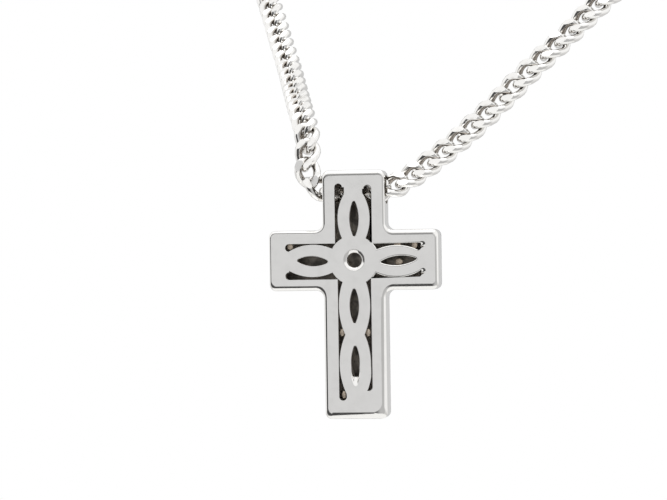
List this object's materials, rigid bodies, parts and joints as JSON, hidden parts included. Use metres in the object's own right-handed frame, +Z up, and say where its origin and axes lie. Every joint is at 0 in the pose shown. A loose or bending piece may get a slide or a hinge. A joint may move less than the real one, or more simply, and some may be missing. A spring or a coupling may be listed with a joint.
{
  "type": "cross necklace",
  "caption": "Pierced, hollow silver cross that swings on a twisted curb chain drawn through its top arm, closed at the nape by a flat clasp on small rings.",
  "frame": {"origin": "the nape, on the middle line of the chain where the necklace hangs at the back of the neck", "axes": "+Z up as worn, the cross faces -Y, +X to the right seen from the front"},
  "size_m": [0.1079, 0.0992, 0.148],
  "materials": {
    "cross_silver": "polished, with dark tarnish in the hollow",
    "chain_silver": "polished, diamond-cut flats",
    "clasp_silver": "polished"
  },
  "bodies": {
    "necklace": {"chain_left": "chain_silver", "chain_right": "chain_silver", "clasp": "clasp_silver", "ring_left": "clasp_silver", "ring_right": "clasp_silver"},
    "pendant": {"cross": "cross_silver"}
  },
  "joints": [
    {"name": "pendant_swing", "type": "hinge", "parent": "necklace", "child": "pendant", "pos_m": [-0.04018, -0.08487, -0.11572], "axis": [1, 0, 0], "range_deg": [-90, 90]}
  ]
}
